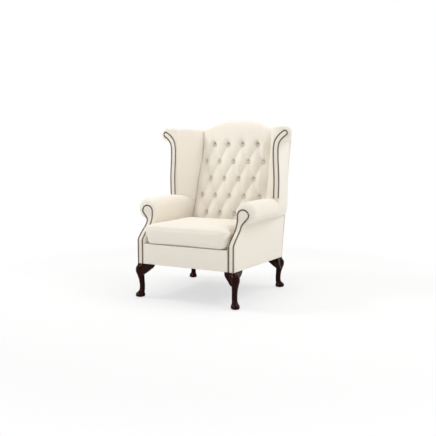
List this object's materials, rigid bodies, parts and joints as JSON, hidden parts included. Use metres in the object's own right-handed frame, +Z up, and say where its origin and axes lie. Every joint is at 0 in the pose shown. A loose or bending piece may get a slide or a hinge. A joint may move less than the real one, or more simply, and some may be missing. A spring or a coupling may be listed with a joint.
{
  "type": "wingback armchair",
  "caption": "Wingback armchair in ivory woven fabric with a diamond-buttoned back, scroll arms, a loose seat cushion, nail-head trim and dark cabriole legs.",
  "frame": {"origin": "on the floor under the middle of the chair", "axes": "+Z up; the sitter faces -Y; +X towards the arm on the sitter's left when facing -Y, called right as seen from the front"},
  "size_m": [0.9, 0.7638, 1.061],
  "materials": {
    "cover": "matte ivory plain-weave upholstery fabric over padding",
    "button": "buttons covered in the same ivory fabric",
    "stud": "antique bronze nail heads, softly polished on their crowns",
    "leg": "dark mahogany stain under gloss lacquer",
    "beech": "bare planed beech, sealed inside the upholstery",
    "spring": "bright drawn spring wire",
    "webbing": "woven jute webbing",
    "lining": "black non-woven dust cover",
    "zip": "ivory coil zip on woven tape",
    "slider": "plain cast slider",
    "glide": "hard black furniture glides"
  },
  "bodies": {
    "chair": {"front_rail": "beech", "back_rail": "beech", "back_stay_rail": "beech", "crest_rail": "beech", "right_side_rail": "beech", "left_side_rail": "beech", "right_front_post": "beech", "left_front_post": "beech", "right_back_post": "beech", "left_back_post": "beech", "right_arm_rail": "beech", "left_arm_rail": "beech", "right_wing_upright": "beech", "left_wing_upright": "beech", "right_wing_rail": "beech", "left_wing_rail": "beech", "seat_spring_1": "spring", "seat_spring_2": "spring", "seat_spring_3": "spring", "seat_spring_4": "spring", "seat_spring_5": "spring", "back_webbing": "webbing", "dust_cover": "lining", "seat_deck": "cover", "front_border": "cover", "right_inside_arm": "cover", "left_inside_arm": "cover", "right_outside_arm": "cover", "left_outside_arm": "cover", "right_arm_facing": "cover", "left_arm_facing": "cover", "right_inside_wing": "cover", "left_inside_wing": "cover", "right_outside_wing": "cover", "left_outside_wing": "cover", "right_wing_facing": "cover", "left_wing_facing": "cover", "inside_back": "cover", "outside_back": "cover", "button_row_1": "button", "button_row_2": "button", "button_row_3": "button", "button_row_4": "button", "button_row_5": "button", "right_arm_studs": "stud", "left_arm_studs": "stud", "right_wing_studs": "stud", "left_wing_studs": "stud", "right_front_leg": "leg", "right_rear_leg": "leg", "left_front_leg": "leg", "left_rear_leg": "leg", "right_front_glide": "glide", "right_rear_glide": "glide", "left_front_glide": "glide", "left_rear_glide": "glide"},
    "cushion": {"seat_cushion": "cover", "cushion_zip": "zip"},
    "slider": {"zip_slider": "slider"}
  },
  "joints": [
    {"name": "cushion_lift", "type": "slide", "parent": "chair", "child": "cushion", "axis": [0, 0, 1], "range_m": [0, 0.75]},
    {"name": "zip_slide", "type": "slide", "parent": "cushion", "child": "slider", "axis": [1, 0, 0], "range_m": [0, 0.38]}
  ]
}
